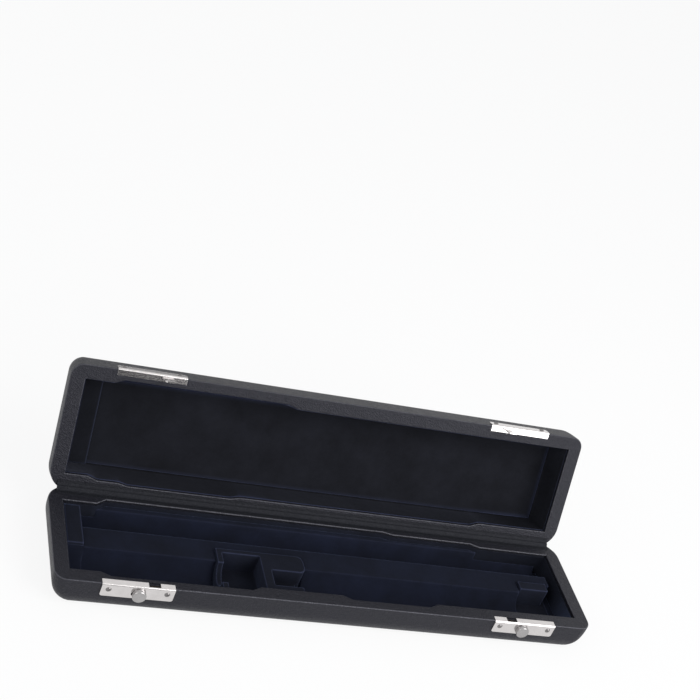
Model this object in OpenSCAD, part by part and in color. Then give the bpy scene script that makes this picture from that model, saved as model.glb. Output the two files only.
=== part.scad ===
// Hard flute case, shown open: a shallow base with a fitted bed, a deep hinged lid,
// a full-length strip hinge under an inner strip, and two sprung slide latches.
// Millimetres, +Z up, X along the case, the front with the latches towards -Y.

/* [Case] */
// Length over the cover
case_l = 395; // [360:1:430]
// Depth over the cover, front to back
case_d = 90.5; // [84:0.5:100]
// Height of the base, flat bottom to parting plane
base_h = 24; // [22:0.5:30]
// Height of the lid, parting plane to flat top
lid_h = 27; // [25:0.5:34]
// Gap between the two rims when the lid is shut
rim_gap = 0.4; // [0.2:0.1:1]
// Angle the lid opens to
open_deg = 110; // [95:1:125]
// Corner radius in plan at the front
front_r = 8.5; // [6:0.5:14]
// Corner radius in plan at the back
rear_r = 16; // [10:0.5:20]
// Length over which an end rounds towards the flat face
end_run = 15; // [10:0.5:18]
// Height over which an end rounds
end_rise = 20; // [14:0.5:21]
// Depth over which a long side rounds
side_run = 9; // [6:0.5:12]
// Height over which a long side rounds
side_rise = 12; // [8:0.5:12]

/* [Walls] */
// Thickness of the leatherette cover
cover_t = 1.2; // [0.8:0.1:1.6]
// Thickness of the board at the flat faces
board_t = 2.8; // [2:0.1:4]
// Rim width at both ends
end_wall = 10; // [9:0.5:13]
// Front rim width along the thick stretches
front_thick = 10.3; // [9.5:0.1:13]
// Front rim width where the keys need room
front_thin = 6.9; // [6.5:0.1:8]
// Front rim width of the lid along the thick stretches
lid_front_thick = 9.6; // [9.2:0.1:12]
// Back rim width from the hinge pin, base, thick stretches
rear_thick = 11.6; // [10:0.1:14]
// Back rim width from the hinge pin, base, middle stretch
rear_mid = 8.7; // [8:0.1:9.8]
// Back rim width from the hinge pin, base, thinnest stretch
rear_thin = 6.8; // [6.5:0.1:7.8]
// Back rim width from the hinge pin, lid, thick stretches
lid_rear_thick = 9.7; // [8.5:0.1:11]
// Back rim width from the hinge pin, lid, middle stretch
lid_rear_mid = 7.1; // [6.8:0.1:8.3]
// Back rim width from the hinge pin, lid, thinnest stretch
lid_rear_thin = 5.6; // [5.5:0.1:6.5]
// Length over which the rim width steps
jog_run = 7; // [4:0.5:12]

/* [Lining] */
// Thickness of the velvet lining on the walls
lining_t = 1.2; // [0.8:0.1:2]
// Set-back of the lining's top edge below the rim
lining_drop = 2.2; // [1:0.1:3]
// Depth of the bed's shelf below the parting plane
shelf_drop = 5; // [4:0.25:7]
// Radius of the channel for the body joint
body_r = 9.3; // [8.5:0.1:10]
// Radius of the two bays for the head and foot joints
bay_r = 12.7; // [11.5:0.1:13.2]
// Least thickness of the bed under a channel
bed_floor = 1.4; // [1:0.1:2]
// Depth of the rests' tops below the parting plane
rest_drop = 3; // [2.5:0.25:4]
// Depth of the centre rest, front to back
rest_w = 36; // [34:0.5:38]
// Width of the seat for the head joint's crown
seat_w = 14.5; // [13:0.5:17]
// Length of the open slot at the right end
slot_l = 10; // [8:0.5:14]
// Length of the ledge at the left end
ledge_l = 12.5; // [8:0.5:16]
// Inside depth of the lid, parting plane to lining
lid_inside = 22.4; // [20:0.1:22.6]
// How far the lid's lining walls lean in at the front and the ends
lid_lean = 3; // [1:0.5:4]
// How far the lid's lining wall leans in at the back
lid_lean_rear = 0.5; // [0.5:0.5:3]

/* [Hinge] */
// Distance from the hinge pin to the back face
pin_inset = 2.5; // [2:0.1:3]
// Outer radius of the hinge knuckles
knuckle_r = 1.25; // [1.1:0.05:1.4]
// Radius of the hinge pin
pin_r = 0.6; // [0.5:0.05:0.7]
// Thickness of the hinge leaves
leaf_t = 0.5; // [0.4:0.05:0.6]
// Number of knuckles on the two leaves together
knuckles = 12; // [8:2:20]
// Thickness of the leatherette strip over the hinge
strip_t = 0.6; // [0.5:0.05:0.7]

/* [Latches] */
// Distance from the case end to the middle of a latch
latch_inset = 55.2; // [50:0.2:70]
// Length of a latch plate
plate_l = 48.6; // [44:0.2:52]
// Height of a latch plate below the parting plane
plate_h = 10.4; // [10:0.1:11.5]
// Width of a latch plate on the rim
flange_w = 4.2; // [3.9:0.1:5]
// Thickness of the plates
plate_t = 0.8; // [0.6:0.05:1]
// Diameter of the sliding knob
knob_d = 9.4; // [8:0.1:10]
// Height of the knob in front of its plate
knob_h = 3; // [2.2:0.1:4]
// Travel of the knob
travel = 3.5; // [3:0.1:4]
// Height of the catch plate on the lid
catch_h = 7; // [6:0.5:9]
// Width of the hook that hangs from the lid
hook_w = 7; // [6:0.1:7.4]
// Running clearance of the sliding bolt
slide_gap = 0.2; // [0.1:0.05:0.3]
// Turns of the latch spring
spring_turns = 7; // [5:1:9]

/* [Hidden] */
$fn = 48;
eps = 0.01;

// main planes; the rims stand half the gap short of the parting plane
front_y = -case_d / 2;
rear_y = case_d / 2;
pin_y = rear_y - pin_inset;
left_x = -case_l / 2;
right_x = case_l / 2;
half_gap = rim_gap / 2;
base_top = base_h - half_gap;
lid_top = lid_h - half_gap;

// rounding of the rim's outer edge, and steps round a corner and up a side
rim_round = 0.8;
corner_steps = 6;
rise_steps = 8;

// middles of the runs where the rims change width
jog_left = left_x + 37;
jog_front = left_x + 34;
jog_right = right_x - 71.5;
jog_rear = 54.5;
jog_front_a = -60;
jog_front_b = 6;
jog_front_c = 72;
lid_jog_a = left_x + 29.5;
lid_jog_b = left_x + 51.5;
lid_jog_c = -64.5;
lid_jog_d = -38;

// planes inside base and lid
cavity_z = cover_t + board_t;
shelf_z = base_h - shelf_drop;
rest_z = base_h - rest_drop;
lining_z = base_top - lining_drop;

// joints' places in the bed; the bays start at the lining of the thick front rim
bay_y = front_y + front_thick + lining_t + bay_r;
bay_z = cavity_z + bed_floor + bay_r;
body_y = pin_y - rear_thick - lining_t - body_r;
body_z = cavity_z + bed_floor + body_r;
ledge_x = left_x + end_wall + ledge_l;
slot_x = right_x - end_wall - slot_l;
end_rest_l = 27;
end_rest_w = 35;
slot_wall = 4;
lining_bow = 0.5;

// step in the back right corner of the right end rest, and saddle through the left ledge
end_notch_l = 11.5;
end_notch_w = 8;
end_notch_drop = 2.5;
saddle_r = 14.6;
saddle_rise = 3;

// pad at the lid's left end
lid_pad_l = 13;
lid_pad_t = 3;
lid_pad_gap = 0.1;

// centre rest, along X
rest_x0 = -83;
rest_x1 = -19.5;
rest_wall = 4;
rest_mid = -48.1;
rest_stem = 7;
tongue_w = 16;
tongue_r = 4.5;
seat_rise = 4;

// hinge
hinge_l = case_l - 2 * rear_r;
knuckle_l = hinge_l / knuckles;
knuckle_gap = 0.2;
pin_gap = 0.05;
relief_r = knuckle_r + 0.2;
stop_deg = open_deg / 2 + 0.3;
leaf_w = 4.6;
nail_r = 0.55;
nail_head_r = 1;
nail_l = 5;
strip_w = 6.2;
strip_lid_w = 5.1;
strip_end = 6.5;
strip_z = leaf_t - knuckle_r;

// latch, along X from the plate's middle with + towards the case's middle
latch_x = right_x - latch_inset;
latch_z = base_h - 6.5;
knob_x = 1;
knob_gap = 0.15;
neck_d = 3.2;
rivet_d = 2;
bolt_h = 4.4;
bolt_t = 2.2;
bolt_x0 = -6;
sheet_t = 0.7;
seat_gap = 0.15;
hook_x = 10.5;
hook_t = 1;
hook_room = 0.5;
toe_l = 3;
toe_h = 2.2;
toe_gap = 0.2;
nose_h = 2.7;
nose_gap = 0.3;
bolt_y0 = front_y + slide_gap;
bolt_y1 = bolt_y0 + bolt_t;
house_y1 = bolt_y1 + slide_gap + sheet_t;
hook_x0 = hook_x - hook_w / 2;
hook_x1 = hook_x + hook_w / 2;
hook_y0 = bolt_y0 + (bolt_t - hook_t) / 2;
nose_x1 = hook_x0 + toe_l - nose_gap;
nose_z0 = latch_z + bolt_h / 2 - nose_h;
toe_z1 = nose_z0 - toe_gap;
hook_z0 = toe_z1 - toe_h;
hook_z1 = base_h + 6;
notch_z1 = latch_z + bolt_h / 2 + 0.5;
house_x0 = bolt_x0 - 10.5;
house_x1 = hook_x0 - 0.8;
house_z0 = latch_z - bolt_h / 2 - slide_gap - sheet_t;
house_z1 = latch_z + bolt_h / 2 + slide_gap + sheet_t;
spring_wire_r = 0.2;
spring_r = 0.9;
screw_x = 19.5;
screw_z = base_h - 4.6;
catch_screw_z = base_h + 4.4;
screw_head_r = 1.9;
screw_head_h = 0.9;
screw_r = 1;
screw_l = 5.4;
bend_r = plate_t + 0.5;
plate_r = 1.6;

// colours
leatherette = [0.10, 0.10, 0.12];
board = [0.72, 0.58, 0.40];
velvet = [0.07, 0.08, 0.16];
nickel = [0.80, 0.80, 0.79];
steel = [0.55, 0.56, 0.58];

// ---- outer form of base and lid -------------------------------------------------------

// inward run of an elliptic edge at depth d below the rim, on a side h high
function run_in(d, h, run, rise) =
    d <= h - rise ? 0 : run * (1 - sqrt(max(0, 1 - pow((d - h + rise) / rise, 2))));

// rounding of the rim's outer edge at depth d
function rim_in(d) =
    d >= rim_round ? 0 : rim_round - sqrt(pow(rim_round, 2) - pow(rim_round - d, 2));

// rounded ring at depth d on a side h high, set in by g and laid at height z
function ring(d, h, g, z) =
    let (ex = run_in(d, h, end_run, end_rise) + rim_in(d) + g,
         ey = run_in(d, h, side_run, side_rise) + rim_in(d) + g,
         shrink = 0.15 * (ex + ey),
         x = case_l / 2 - ex,
         y = case_d / 2 - ey)
    [for (c = [[x, y, rear_r, 0], [-x, y, rear_r, 90], [-x, -y, front_r, 180], [x, -y, front_r, 270]])
        for (i = [0:corner_steps])
            let (a = c[3] + 90 * i / corner_steps, r = max(c[2] - shrink, 2))
            [c[0] + r * (cos(a) - sign(c[0])), c[1] + r * (sin(a) - sign(c[1])), z]];

// depths at which rings are laid on a side h high, from the flat face up to the rim
function depths(h) = concat(
    [for (i = [rise_steps:-1:0]) h - end_rise + end_rise * sin(90 * i / rise_steps)],
    [rim_round, rim_round * 0.3, 0]);

// closed solid through rings of equal length, from the bottom up; cap lists the faces that
// close a ring, and without it the whole ring is one face
module loft(rings, cap = undef) {
    n = len(rings[0]);
    m = len(rings);
    ends = is_undef(cap) ? [[for (i = [0:n - 1]) i]] : cap;
    polyhedron(
        points = [for (r = rings) each r],
        faces = concat(
            ends,
            [for (k = [0:m - 2]) for (i = [0:n - 1])
                let (a = k * n + i, b = k * n + (i + 1) % n) each [[a, b + n, b], [a, a + n, b + n]]],
            [for (c = ends) [for (i = [len(c) - 1:-1:0]) (m - 1) * n + c[i]]]));
}

// half of the case, h high from its flat face at 0 up to its rim, set in by g all over
module half_form(h, g)
    loft([for (d = depths(h)) ring(d, h, g, g + (1 - d / h) * (h - 2 * g))]);

// what is drawn for the closed lid with its flat face down is turned over onto the base
module lid_up() translate([0, 0, base_h + lid_h]) mirror([0, 0, 1]) children();

// the closed lid swings about the hinge pin to its open place
module lid_open()
    translate([0, pin_y, base_h]) rotate([-open_deg, 0, 0]) translate([0, -pin_y, -base_h]) children();

// ---- rim outlines ---------------------------------------------------------------------

// pairs of place along X and rim width, joined by short slanting runs
function steps(first, jogs) = [for (i = [0:len(jogs) - 1])
    let (w = i == 0 ? first : jogs[i - 1][1])
    each [[jogs[i][0] - jog_run / 2, w], [jogs[i][0] + jog_run / 2, jogs[i][1]]]];

base_front = steps(front_thick, [[jog_front, front_thin], [jog_front_a, front_thick],
    [jog_front_b, front_thin], [jog_front_c, front_thick]]);
base_rear = steps(rear_thick, [[jog_left, rear_thin], [jog_rear, rear_mid], [jog_right, rear_thick]]);
lid_front = steps(lid_front_thick, [[jog_front, front_thin], [lid_jog_d, lid_front_thick]]);
lid_rear = steps(lid_rear_thick, [[lid_jog_a, lid_rear_mid], [lid_jog_b, lid_rear_thin],
    [lid_jog_c, lid_rear_mid], [jog_right, lid_rear_thick]]);

// values in rising order, each once
function rising(v) = len(v) < 2 ? v : concat(
    rising([for (a = v) if (a < v[0]) a]), [v[0]], rising([for (a = v) if (a > v[0]) a]));

// inner edge of a rim, set in by g, from its front and rear steps: the front from left to
// right, then the back over the same places from right to left
function opening(front, rear, g) =
    let (end_x = case_l / 2 - end_wall - g,
         xs = concat([-end_x], rising([for (p = concat(front, rear)) p[0]]), [end_x]))
    concat([for (x = xs) [x, front_y + lookup(x, front) + g]],
           [for (i = [len(xs) - 1:-1:0]) [xs[i], pin_y - lookup(xs[i], rear) - g]]);

// faces that close such an outline of n points
function opening_cap(n) = [for (i = [0:n / 2 - 2]) [i, i + 1, n - 2 - i, n - 1 - i]];

// ---- hinge ----------------------------------------------------------------------------

// bevels behind the pin that meet when the lid is open and stop it there
module stop_bevel()
    translate([left_x - 1, pin_y, base_h]) rotate([90, 0, 90]) linear_extrude(case_l + 2)
        polygon([[0, 0], [9 * cos(stop_deg), -9 * sin(stop_deg)], [12, 0]]);

// room for knuckles, leaf and strip in the base's rim
module hinge_room() {
    stop_bevel();
    translate([-hinge_l / 2, pin_y, base_h]) rotate([0, 90, 0]) cylinder(r = relief_r, h = hinge_l);
    translate([-hinge_l / 2, pin_y - leaf_w, base_h - knuckle_r]) cube([hinge_l, leaf_w, 3]);
    for (x = [1:2:knuckles - 1]) translate([(x - knuckles / 2) * knuckle_l, 0, 0]) nail(0);
}

// room for the strip, w wide on this rim
module strip_room(w)
    translate([left_x - 1, pin_y - w, base_h + strip_z]) cube([case_l + 2, w + pin_inset + 1, 3]);

// one nail through a leaf, head flush with the leaf
module nail(g)
    translate([0, pin_y - leaf_w / 2 - 0.6, base_h + strip_z]) {
        translate([0, 0, -nail_l]) cylinder(r = nail_r + g, h = nail_l);
        translate([0, 0, -leaf_t / 2]) cylinder(r = nail_head_r + g, h = leaf_t / 2);
    }

// leaf with its knuckles at odd or even places, bored to radius bore, drawn for the base
module leaf(odd, bore) {
    difference() {
        union() {
            translate([-hinge_l / 2 + knuckle_gap, pin_y - leaf_w, base_h - knuckle_r])
                cube([hinge_l - 2 * knuckle_gap, leaf_w - relief_r, leaf_t]);
            for (i = [odd:2:knuckles - 1])
                translate([-hinge_l / 2 + i * knuckle_l + knuckle_gap, 0, 0]) {
                    translate([0, pin_y - relief_r - eps, base_h - knuckle_r])
                        cube([knuckle_l - 2 * knuckle_gap, relief_r + eps, leaf_t]);
                    translate([0, pin_y, base_h]) rotate([0, 90, 0])
                        cylinder(r = knuckle_r, h = knuckle_l - 2 * knuckle_gap);
                }
        }
        translate([-case_l / 2, pin_y, base_h]) rotate([0, 90, 0])
            cylinder(r = bore, h = case_l);
        for (x = [1:2:knuckles - 1]) translate([(x - knuckles / 2) * knuckle_l, 0, 0]) nail(0);
    }
}

// mirrors what is drawn for the base onto the closed lid
module to_lid() translate([0, 0, 2 * base_h]) mirror([0, 0, 1]) children();

module hinge_leaf_base() color(steel) leaf(0, pin_r);
module hinge_leaf_lid() color(steel) lid_open() to_lid() leaf(1, pin_r + pin_gap);

module hinge_pin() color(steel)
    translate([-hinge_l / 2, pin_y, base_h]) rotate([0, 90, 0]) cylinder(r = pin_r, h = hinge_l);

module nails() for (x = [1:2:knuckles - 1]) translate([(x - knuckles / 2) * knuckle_l, 0, 0]) nail(0);
module hinge_nails_base() color(steel) nails();
module hinge_nails_lid() color(steel) lid_open() to_lid() nails();

// strip over the open hinge: flat on the base's rim, over the knuckles, flat on the lid's rim
module hinge_strip() {
    wrap = knuckle_r + 0.1;
    fan = [for (i = [0:6]) 180 - 18 - i * (open_deg - 36) / 6];
    lid_dir = [-cos(open_deg), sin(open_deg)];
    lid_out = [-sin(open_deg), -cos(open_deg)];
    function on_base(w, h) = [-w, h];
    function on_lid(w, h) = w * lid_dir + h * lid_out;
    h0 = strip_z;
    h1 = strip_z + strip_t;
    foot = 2.7;
    color(leatherette) translate([left_x + strip_end, pin_y, base_h]) rotate([90, 0, 90])
        linear_extrude(case_l - 2 * strip_end)
            polygon(concat(
                [on_base(strip_w, h0), on_base(foot, h0)],
                [for (a = fan) wrap * [cos(a), sin(a)]],
                [on_lid(foot, h0), on_lid(strip_lid_w, h0), on_lid(strip_lid_w, h1), on_lid(foot, h1)],
                [for (i = [6:-1:0]) (wrap + strip_t) * [cos(fan[i]), sin(fan[i])]],
                [on_base(foot, h1), on_base(strip_w, h1)]));
}

// ---- latches --------------------------------------------------------------------------

// places a latch: side 1 is right, side -1 is left, +X turned towards the case's middle
module at_latch(side)
    translate([side * latch_x, 0, 0]) mirror([side > 0 ? 1 : 0, 0, 0]) children();

// bent plate: a leg down the front and a flange over the rim, rim surface at z
module bent_plate(leg, flange, z) {
    translate([-plate_l / 2, 0, z]) rotate([90, 0, 90]) linear_extrude(plate_l)
        difference() {
            union() {
                translate([front_y - plate_t + bend_r, -bend_r]) circle(r = bend_r);
                translate([front_y - plate_t, -bend_r - 1]) square([plate_t, 1]);
                translate([front_y - plate_t + bend_r, -plate_t]) square([flange + plate_t - bend_r, plate_t]);
            }
            translate([front_y, -bend_r - 2]) square([bend_r + 1, bend_r + 2 - plate_t]);
        }
    translate([0, front_y, z - leg]) rotate([90, 0, 0]) linear_extrude(plate_t) {
        translate([-plate_l / 2, plate_r]) square([plate_l, leg - bend_r - plate_r]);
        translate([-plate_l / 2 + plate_r, 0]) square([plate_l - 2 * plate_r, plate_r + eps]);
        for (s = [-1, 1]) translate([s * (plate_l / 2 - plate_r), plate_r]) circle(r = plate_r);
    }
}

// seat of a bent plate's flange in the rim below z
module flange_seat(flange, z)
    translate([-plate_l / 2, front_y - 1, z - plate_t]) cube([plate_l, flange + 1, plate_t + 1]);

// bores for the screws at height z
module screw_bores(z) for (s = [-1, 1])
    translate([s * screw_x, front_y - plate_t - 0.1, z]) rotate([-90, 0, 0])
        cylinder(r = screw_r, h = screw_l + plate_t + 0.1);

// screws with slotted round heads at height z
module screws(z) for (s = [-1, 1])
    translate([s * screw_x, front_y - plate_t, z]) rotate([90, 0, 0]) {
        translate([0, 0, -screw_l - plate_t]) cylinder(r = screw_r, h = screw_l + plate_t + eps);
        difference() {
            intersection() {
                cylinder(r = screw_head_r, h = screw_head_h);
                translate([0, 0, screw_head_h - 2.6]) sphere(r = 2.6);
            }
            rotate([0, 0, 35]) translate([-3, -0.25, screw_head_h - 0.4]) cube([6, 0.5, 1]);
        }
    }

// room in the front wall for bolt, spring and housing, and for the hook from above
module latch_pocket() {
    translate([house_x0 - seat_gap, front_y - 1, house_z0 - seat_gap])
        cube([nose_x1 + 1 - house_x0 + seat_gap, house_y1 - front_y + 1 + seat_gap,
              house_z1 - house_z0 + 2 * seat_gap]);
    translate([hook_x0 - hook_room, front_y - 1, hook_z0 - hook_room])
        cube([hook_w + 2 * hook_room, hook_y0 + hook_t - front_y + 1 + 2 * hook_room, base_h - hook_z0]);
}

// all that a latch takes out of the front wall of the base
module latch_cuts() for (side = [-1, 1]) at_latch(side) {
    latch_pocket();
    flange_seat(flange_w, base_top);
    screw_bores(screw_z);
}

module latch_plate() color(nickel) difference() {
    bent_plate(plate_h - half_gap, flange_w, base_top);
    translate([0, front_y + 1, latch_z]) rotate([90, 0, 0]) linear_extrude(plate_t + 2) {
        for (x = [knob_x - travel, knob_x]) translate([x, 0]) circle(d = neck_d + 0.4);
        translate([knob_x - travel, -neck_d / 2 - 0.2]) square([travel, neck_d + 0.4]);
    }
    translate([hook_x0 - hook_room, hook_y0 - hook_room, base_top - plate_t - 1])
        cube([hook_w + 2 * hook_room, flange_w, plate_t + 2]);
    screw_bores(screw_z);
}

// dished round knob with a neck and a rivet
module latch_knob() color(nickel) {
    r = knob_d / 2;
    translate([knob_x, front_y - plate_t - knob_gap, latch_z]) rotate([90, 0, 0])
        rotate_extrude() difference() {
            union() {
                square([r - 0.7, knob_h]);
                square([r, knob_h - 0.7]);
                translate([r - 0.7, knob_h - 0.7]) circle(r = 0.7);
            }
            translate([-2, -2]) square([2, knob_h + 4]);
            translate([0, knob_h + 10.6]) circle(r = 11);
        }
    translate([knob_x, bolt_y0, latch_z]) rotate([90, 0, 0])
        cylinder(d = neck_d, h = slide_gap + plate_t + knob_gap + 0.3);
    translate([knob_x, bolt_y1, latch_z]) rotate([90, 0, 0]) cylinder(d = rivet_d, h = bolt_t + 0.3);
}

// sliding bolt, its nose bevelled below so that the hook pushes it aside
module latch_bolt() color(steel) difference() {
    translate([0, bolt_y1, latch_z - bolt_h / 2]) rotate([90, 0, 0]) linear_extrude(bolt_t)
        polygon([[bolt_x0, 0], [house_x1, 0], [house_x1, bolt_h - nose_h], [nose_x1 - 1.2, bolt_h - nose_h],
                 [nose_x1, bolt_h - nose_h + 1.2], [nose_x1, bolt_h], [bolt_x0, bolt_h]]);
    translate([knob_x, bolt_y1 + 1, latch_z]) rotate([90, 0, 0]) cylinder(d = rivet_d, h = bolt_t + 2);
}

// compression spring between the bolt's end and the housing's end, one unbroken coil
module latch_spring() {
    x0 = house_x0 + sheet_t + spring_wire_r;
    run = bolt_x0 - spring_wire_r - x0;
    n = spring_turns * 8;
    sides = 6;
    function at(i) = [x0 + run * i / n, spring_r * cos(45 * i), spring_r * sin(45 * i)];
    color(steel) translate([0, (bolt_y0 + bolt_y1) / 2, latch_z])
        loft([for (i = [0:n]) let (p = at(i), out = [0, cos(45 * i), sin(45 * i)])
            [for (k = [0:sides - 1]) let (a = 360 * k / sides)
                p + spring_wire_r * (cos(a) * out + sin(a) * [1, 0, 0])]]);
}

// pressed housing that guides the bolt and holds the spring
module latch_housing() color(steel) {
    l = house_x1 - house_x0;
    difference() {
        translate([house_x0, front_y, house_z0]) cube([l, house_y1 - front_y, house_z1 - house_z0]);
        translate([house_x0 + sheet_t, front_y - 1, house_z0 + sheet_t])
            cube([l, house_y1 - front_y + 1 - sheet_t, house_z1 - house_z0 - 2 * sheet_t]);
    }
}

module latch_plate_left() at_latch(-1) latch_plate();
module latch_knob_left() at_latch(-1) latch_knob();
module latch_bolt_left() at_latch(-1) latch_bolt();
module latch_spring_left() at_latch(-1) latch_spring();
module latch_housing_left() at_latch(-1) latch_housing();
module latch_screws_left() at_latch(-1) color(nickel) screws(screw_z);
module latch_plate_right() at_latch(1) latch_plate();
module latch_knob_right() at_latch(1) latch_knob();
module latch_bolt_right() at_latch(1) latch_bolt();
module latch_spring_right() at_latch(1) latch_spring();
module latch_housing_right() at_latch(1) latch_housing();
module latch_screws_right() at_latch(1) color(nickel) screws(screw_z);

// ---- catches on the lid, drawn closed over the base -------------------------------------

// outline of the hook, seen from the front, with the notch that the bolt enters
module hook_outline() polygon([
    [hook_x0 + 1, hook_z0], [hook_x1 - 0.6, hook_z0], [hook_x1, hook_z0 + 0.6], [hook_x1, hook_z1],
    [hook_x0, hook_z1], [hook_x0, notch_z1], [hook_x0 + toe_l, notch_z1], [hook_x0 + toe_l, toe_z1],
    [hook_x0, toe_z1], [hook_x0, hook_z0 + 1]]);

module catch_hook() color(nickel)
    translate([0, hook_y0 + hook_t, 0]) rotate([90, 0, 0]) linear_extrude(hook_t) hook_outline();

module catch_plate() color(nickel) difference() {
    to_lid() bent_plate(catch_h - half_gap, flange_w, base_top);
    translate([hook_x0, hook_y0, base_h]) cube([hook_w, hook_t, 3]);
    screw_bores(catch_screw_z);
}

// all that a catch takes out of the front wall of the closed lid
module catch_cuts() for (side = [-1, 1]) at_latch(side) {
    to_lid() flange_seat(flange_w, base_top);
    translate([hook_x0, hook_y0, base_h]) cube([hook_w, hook_t, hook_z1 - base_h]);
    screw_bores(catch_screw_z);
}

module catch_plate_left() lid_open() at_latch(-1) catch_plate();
module catch_hook_left() lid_open() at_latch(-1) catch_hook();
module catch_screws_left() lid_open() at_latch(-1) color(nickel) screws(catch_screw_z);
module catch_plate_right() lid_open() at_latch(1) catch_plate();
module catch_hook_right() lid_open() at_latch(1) catch_hook();
module catch_screws_right() lid_open() at_latch(1) color(nickel) screws(catch_screw_z);

// ---- base -----------------------------------------------------------------------------

module base_opening(g, z) translate([0, 0, z]) linear_extrude(base_h + 5 - z)
    polygon(opening(base_front, base_rear, g));

module base_shell() color(board) difference() {
    half_form(base_top, cover_t);
    base_opening(0, cavity_z);
    hinge_room();
    strip_room(strip_w);
    latch_cuts();
}

module base_cover() color(leatherette) difference() {
    half_form(base_top, 0);
    half_form(base_top, cover_t);
    base_opening(0, cavity_z);
    hinge_room();
    strip_room(strip_w);
    latch_cuts();
}

// place of a rest w deep in the front row of the bed, cut down to the cavity's floor
module rest_room(x0, x1, w) translate([x0, front_y, cavity_z - 1])
    cube([x1 - x0, front_thick + lining_t + w, base_h]);

// round-bottomed channel along X with upright sides above its centre
module channel(x0, x1, y, z, r) {
    translate([x0, y, z]) rotate([0, 90, 0]) cylinder(r = r, h = x1 - x0);
    translate([x0, y - r, z]) cube([x1 - x0, 2 * r, base_h]);
}

// saddle through the left ledge for the closed end of the head joint
module saddle() intersection() {
    channel(left_x, ledge_x + 1, bay_y, rest_z + saddle_rise, saddle_r);
    base_opening(lining_t, 0);
}

// velvet bed: shelf, channel for the body joint and bays for head and foot joints
module base_bed() color(velvet) difference() {
    intersection() {
        base_opening(0, cavity_z);
        translate([left_x, front_y, 0]) cube([case_l, case_d, lining_z]);
    }
    base_opening(lining_t, shelf_z);
    channel(ledge_x, slot_x - slot_wall, body_y, body_z, body_r);
    channel(ledge_x, slot_x + 1, bay_y, bay_z, bay_r);
    saddle();
    translate([slot_x, front_y, cavity_z + bed_floor]) intersection() {
        cube([slot_l - lining_t, case_d, base_h]);
        translate([-slot_x, -front_y, -cavity_z - bed_floor]) base_opening(lining_t, 0);
    }
    intersection() {
        union() {
            rest_room(rest_x0, rest_x1, rest_w);
            rest_room(slot_x - end_rest_l, slot_x, end_rest_w);
        }
        base_opening(lining_t, 0);
    }
}

// centre rest: a pit, a seat for the crown, and a round-cornered tongue behind the seat
module centre_rest() color(velvet) intersection() {
    rest_y1 = front_y + front_thick + lining_t + rest_w;
    tongue_y = rest_y1 - tongue_w;
    r = tongue_r;
    union() {
        difference() {
            translate([0, 0, cavity_z]) linear_extrude(rest_z - cavity_z) {
                translate([rest_x0, front_y])
                    square([rest_mid + rest_stem / 2 - rest_x0, rest_y1 - front_y]);
                translate([rest_mid, tongue_y]) square([rest_x1 - r - rest_mid, tongue_w]);
                translate([rest_mid, tongue_y + r]) square([rest_x1 - rest_mid, tongue_w - 2 * r]);
                for (y = [tongue_y + r, rest_y1 - r]) translate([rest_x1 - r, y]) circle(r = r);
                translate([rest_mid, front_y])
                    square([rest_x1 - r - rest_mid, tongue_y - seat_w - front_y]);
            }
            translate([rest_x0 + rest_wall, front_y, cavity_z])
                cube([rest_mid - rest_stem / 2 - rest_x0 - rest_wall,
                      rest_y1 - rest_wall - front_y, base_h]);
            channel(rest_x0 - 1, rest_x0 + rest_wall + 1, bay_y, rest_z, body_r);
        }
        translate([rest_x0, front_y, cavity_z])
            cube([rest_x1 - rest_x0, rest_y1 - front_y, bed_floor]);
        translate([rest_mid, tongue_y - seat_w, cavity_z])
            cube([rest_x1 - r - rest_mid, seat_w, bed_floor + seat_rise]);
    }
    base_opening(lining_t, 0);
}

// ledge at the left end, level with the rests
module end_rest_left() color(velvet) difference() {
    intersection() {
        translate([left_x, front_y, shelf_z])
            cube([end_wall + ledge_l, case_d, shelf_drop - rest_drop]);
        base_opening(lining_t, 0);
    }
    saddle();
}

// rest for the head joint's open end, stepped down at its back right corner
module end_rest_right() color(velvet) difference() {
    end_rest_y1 = front_y + front_thick + lining_t + end_rest_w;
    intersection() {
        translate([slot_x - end_rest_l, front_y, cavity_z])
            cube([end_rest_l, end_rest_y1 - front_y, rest_z - cavity_z]);
        base_opening(lining_t, 0);
    }
    channel(slot_x - end_rest_l - 1, slot_x - end_rest_l / 2, bay_y, rest_z, body_r);
    translate([slot_x - end_notch_l, end_rest_y1 - end_notch_w, rest_z - end_notch_drop])
        cube([end_notch_l + 1, end_notch_w + 1, base_h]);
}

// ---- lid ------------------------------------------------------------------------------

// foot of the lid's lining at height z: the rim's opening without its steps, leaning in all
// round, its long sides bowed out a little
function lid_foot(g, z) = [for (p = opening(lid_front, lid_rear, g))
    let (end_x = case_l / 2 - end_wall - g,
         bow = lining_bow * (1 - pow(p[0] / end_x, 2)))
    [abs(p[0]) > end_x - 1 ? sign(p[0]) * (end_x - lid_lean) : p[0],
     p[1] < 0 ? front_y + lid_front_thick + g + lid_lean - bow
              : pin_y - lid_rear_thick - g - lid_lean_rear + bow, z]];

module lid_opening(z) translate([0, 0, base_h - 5]) linear_extrude(z - base_h + 5)
    polygon(opening(lid_front, lid_rear, 0));

module lid_shell() color(board) lid_open() difference() {
    lid_up() half_form(lid_top, cover_t);
    lid_opening(base_h + lid_h - cavity_z);
    to_lid() hinge_room();
    to_lid() strip_room(strip_lid_w);
    catch_cuts();
}

module lid_cover() color(leatherette) lid_open() difference() {
    lid_up() half_form(lid_top, 0);
    lid_up() half_form(lid_top, cover_t);
    lid_opening(base_h + lid_h - cavity_z);
    to_lid() hinge_room();
    to_lid() strip_room(strip_lid_w);
    catch_cuts();
}

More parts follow.
